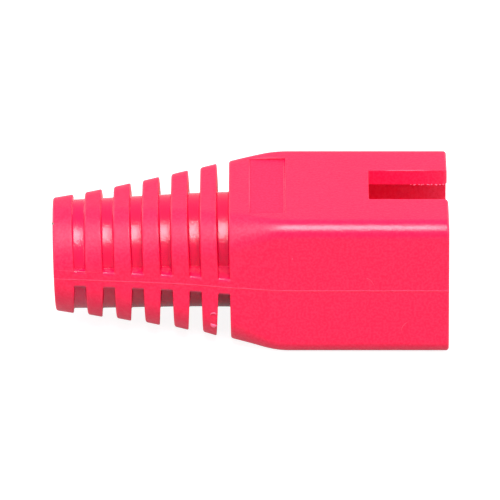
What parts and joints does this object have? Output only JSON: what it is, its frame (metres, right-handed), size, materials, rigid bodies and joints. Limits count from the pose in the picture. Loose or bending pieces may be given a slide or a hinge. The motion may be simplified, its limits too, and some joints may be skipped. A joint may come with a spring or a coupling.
{
  "type": "modular plug strain relief boot",
  "caption": "Slip-on strain relief boot for an eight-way modular plug: ribbed, tapering tail round the cable and an open-ended housing with a latch slot.",
  "frame": {"origin": "on the cable axis, in the end face of the tail, at the start of the cable bore", "axes": "+X along the cable axis from the tail to the open mouth that takes the plug, +Y across the boot, +Z towards the side with the latch slot"},
  "size_m": [0.0304, 0.0142, 0.011],
  "materials": {
    "soft_pvc": "satin, bright pinkish red, moulded soft PVC"
  },
  "bodies": {
    "root": {"boot": "soft_pvc"}
  },
  "joints": []
}
